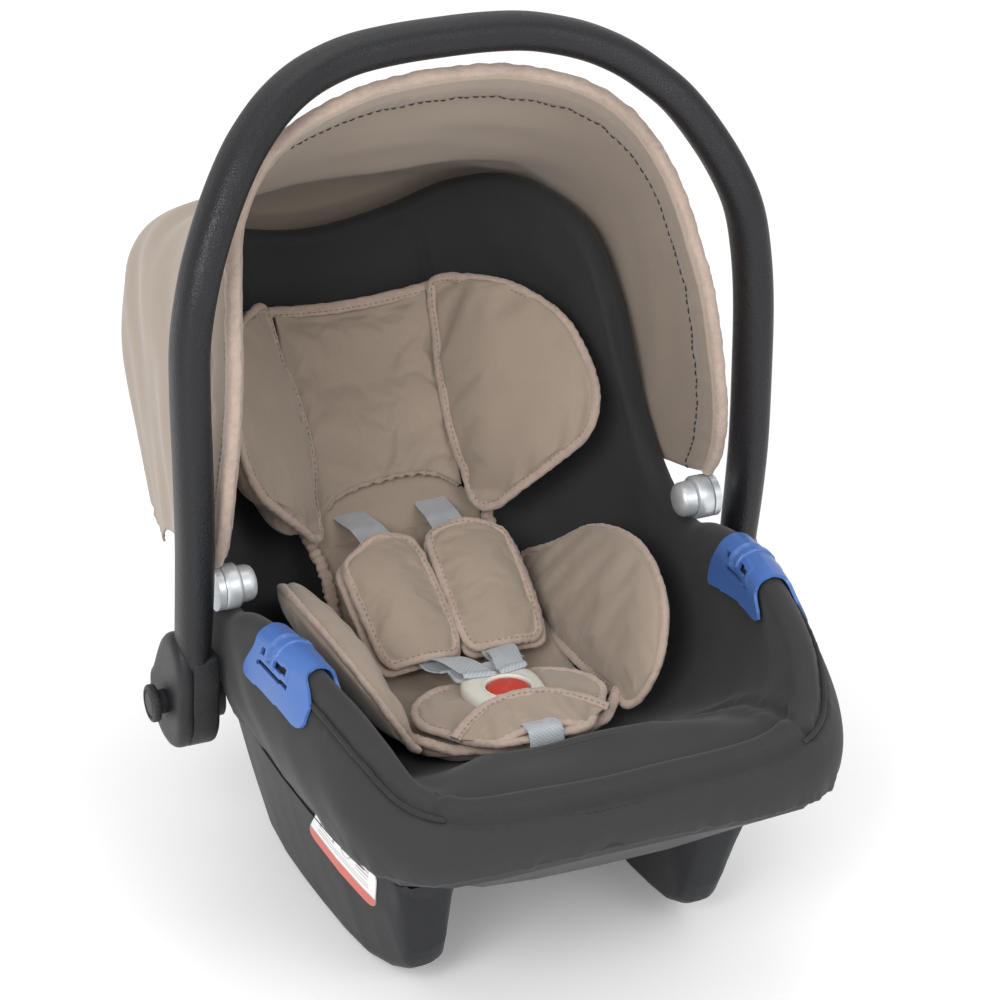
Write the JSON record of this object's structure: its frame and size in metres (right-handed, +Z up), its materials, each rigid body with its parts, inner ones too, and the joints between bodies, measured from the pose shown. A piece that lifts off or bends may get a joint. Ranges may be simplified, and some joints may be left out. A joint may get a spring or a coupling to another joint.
{
  "type": "infant car seat",
  "caption": "Rearward-facing bucket car seat for an infant, with a swinging carrying handle, fold-back sun canopy, padded inserts, three-point harness and lap-belt guides.",
  "frame": {"origin": "on the ground, under the middle of the seat's box", "axes": "+Z up, the foot end faces -Y, X = 0 is the plane of symmetry"},
  "size_m": [0.454, 0.5778, 0.6025],
  "materials": {
    "shell_plastic": "moulded polypropylene, fine texture",
    "base_plastic": "moulded polypropylene, fine texture",
    "foam": "expanded polystyrene",
    "cover_fabric": "padded knitted polyester",
    "taupe_fabric": "brushed polyester over wadding",
    "canopy_cloth": "woven polyester",
    "webbing": "woven webbing",
    "buckle_ivory": "satin moulded",
    "button_red": "satin moulded",
    "tongue": "satin moulded",
    "steel": "zinc plated",
    "silver": "silver lacquer on moulded plastic",
    "guide_blue": "satin moulded",
    "handle_plastic": "moulded with leather grain",
    "bow_plastic": "moulded",
    "label": "printed film label, text left out"
  },
  "bodies": {
    "seat": {"shell": "shell_plastic", "rocker_base": "base_plastic", "foam_liner": "foam", "seat_cover": "cover_fabric", "pivot_boss_left": "handle_plastic", "pivot_boss_right": "handle_plastic", "pivot_bolt_left": "steel", "pivot_bolt_right": "steel", "belt_guide_left": "guide_blue", "belt_guide_right": "guide_blue", "canopy_socket_left": "silver", "canopy_socket_right": "silver", "body_insert": "taupe_fabric", "head_pillow": "taupe_fabric", "shoulder_strap_left": "webbing", "shoulder_strap_right": "webbing", "shoulder_pad_left": "taupe_fabric", "shoulder_pad_right": "taupe_fabric", "crotch_pad": "taupe_fabric", "crotch_strap": "webbing", "buckle_housing": "buckle_ivory", "buckle_tongue_left": "tongue", "buckle_tongue_right": "tongue", "harness_yoke": "steel", "shell_screws": "steel", "warning_label": "label"},
    "handle": {"handle_bow": "handle_plastic", "handle_hub_left": "handle_plastic", "handle_hub_right": "handle_plastic", "button_spring_left": "steel", "button_spring_right": "steel"},
    "release_button_left": {"release_button_left": "handle_plastic"},
    "release_button_right": {"release_button_right": "handle_plastic"},
    "canopy": {"canopy_bow": "bow_plastic", "canopy_pin_left": "silver", "canopy_pin_right": "silver", "canopy_cap_left": "silver", "canopy_cap_right": "silver", "canopy_fabric": "canopy_cloth"},
    "buckle_button": {"buckle_button": "button_red"}
  },
  "joints": [
    {"name": "handle_swing", "type": "hinge", "parent": "seat", "child": "handle", "pos_m": [0, -0.00125, 0.163], "axis": [1, 0, 0], "range_deg": [-98, 98]},
    {"name": "canopy_fold", "type": "hinge", "parent": "seat", "child": "canopy", "pos_m": [0, -0.01825, 0.248], "axis": [1, 0, 0], "range_deg": [-38, 0], "deforming": ["canopy_fabric"]},
    {"name": "release_left_press", "type": "slide", "parent": "handle", "child": "release_button_left", "axis": [1, 0, 0], "range_m": [0, 0.004], "stiffness_N_per_m": 900, "springref_m": -0.002, "deforming": ["button_spring_left"]},
    {"name": "release_right_press", "type": "slide", "parent": "handle", "child": "release_button_right", "axis": [-1, 0, 0], "range_m": [0, 0.004], "stiffness_N_per_m": 900, "springref_m": -0.002, "deforming": ["button_spring_right"]},
    {"name": "buckle_press", "type": "slide", "parent": "seat", "child": "buckle_button", "axis": [0, 0, -1], "range_m": [0, 0.003], "stiffness_N_per_m": 900, "springref_m": -0.002}
  ]
}
